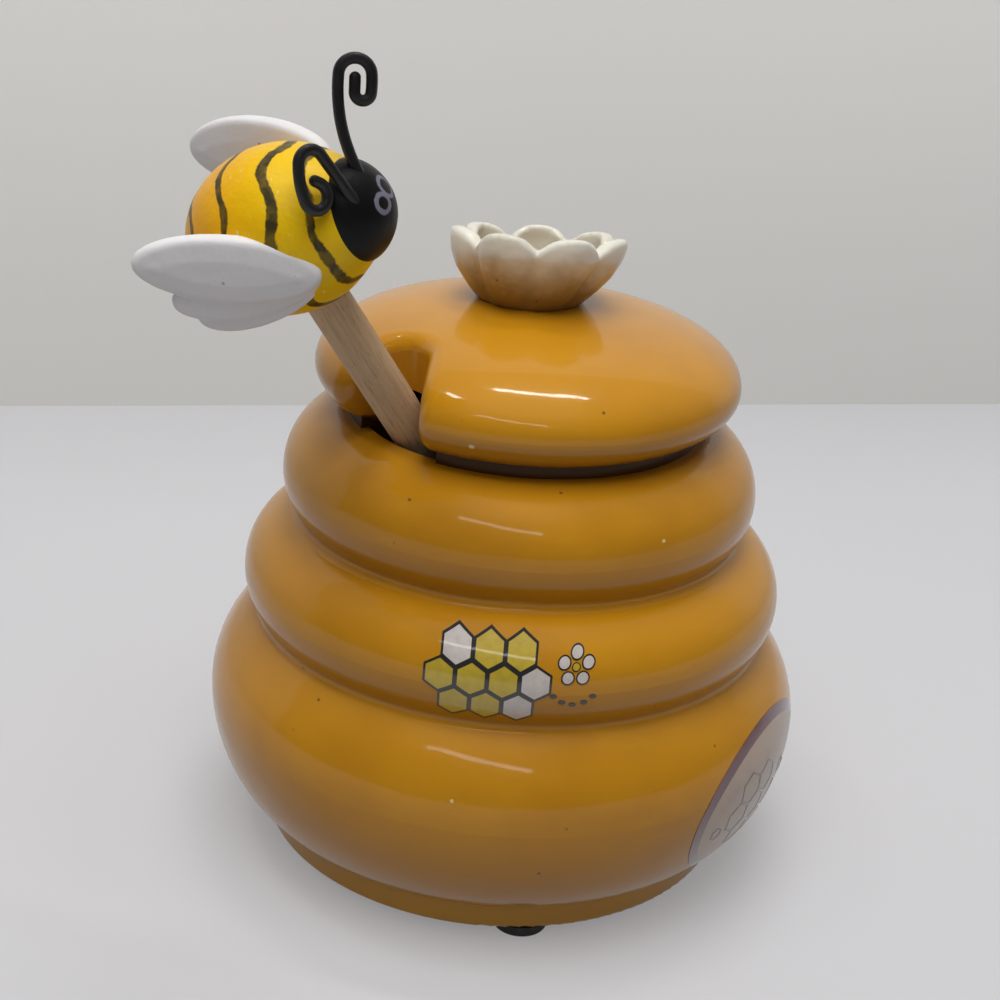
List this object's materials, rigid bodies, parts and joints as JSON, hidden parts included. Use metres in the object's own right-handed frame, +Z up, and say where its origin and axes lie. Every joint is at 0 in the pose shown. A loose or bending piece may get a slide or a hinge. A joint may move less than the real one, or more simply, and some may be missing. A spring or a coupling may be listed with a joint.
{
  "type": "honey pot",
  "caption": "Hive-shaped glazed ceramic honey pot with a lift-off lid topped by a flower knob, and a loose wooden dipper whose handle ends in a painted bee.",
  "frame": {"origin": "middle of the whole object's footprint on the table plane; the pot's axis is the line x = +2.5 mm, y = 0", "axes": "+Z up along the pot's axis, -Y towards the front, +X to the right as seen from the front; the dipper leans out to the left and front"},
  "size_m": [0.1169, 0.112, 0.1534],
  "materials": {
    "glaze_amber": "glossy amber glaze, darker where it is thin over edges",
    "glaze_white": "glossy cream glaze",
    "wood": "pale unvarnished dowel",
    "bee_paint": "satin yellow paint",
    "bee_black": "satin black paint",
    "wing_white": "satin white paint",
    "antenna_wire": "black coated wire",
    "foot_rubber": "black rubber"
  },
  "bodies": {
    "pot": {"pot_body": "glaze_amber", "rubber_foot_1": "foot_rubber", "rubber_foot_2": "foot_rubber", "rubber_foot_3": "foot_rubber", "rubber_foot_4": "foot_rubber"},
    "lid": {"lid": "glaze_amber", "flower_knob": "glaze_white"},
    "dipper": {"dipper_stick": "wood", "dipper_head": "wood", "bee_body": "bee_paint", "bee_head": "bee_black", "bee_wing_right": "wing_white", "bee_wing_left": "wing_white", "bee_antenna_right": "antenna_wire", "bee_antenna_left": "antenna_wire"}
  },
  "joints": [
    {"name": "lid_lift", "type": "slide", "parent": "pot", "child": "lid", "axis": [0, 0, 1], "range_m": [0, 0.1]},
    {"name": "dipper_pull", "type": "slide", "parent": "pot", "child": "dipper", "axis": [-0.4259, -0.4112, 0.8059], "range_m": [0, 0.045]}
  ]
}
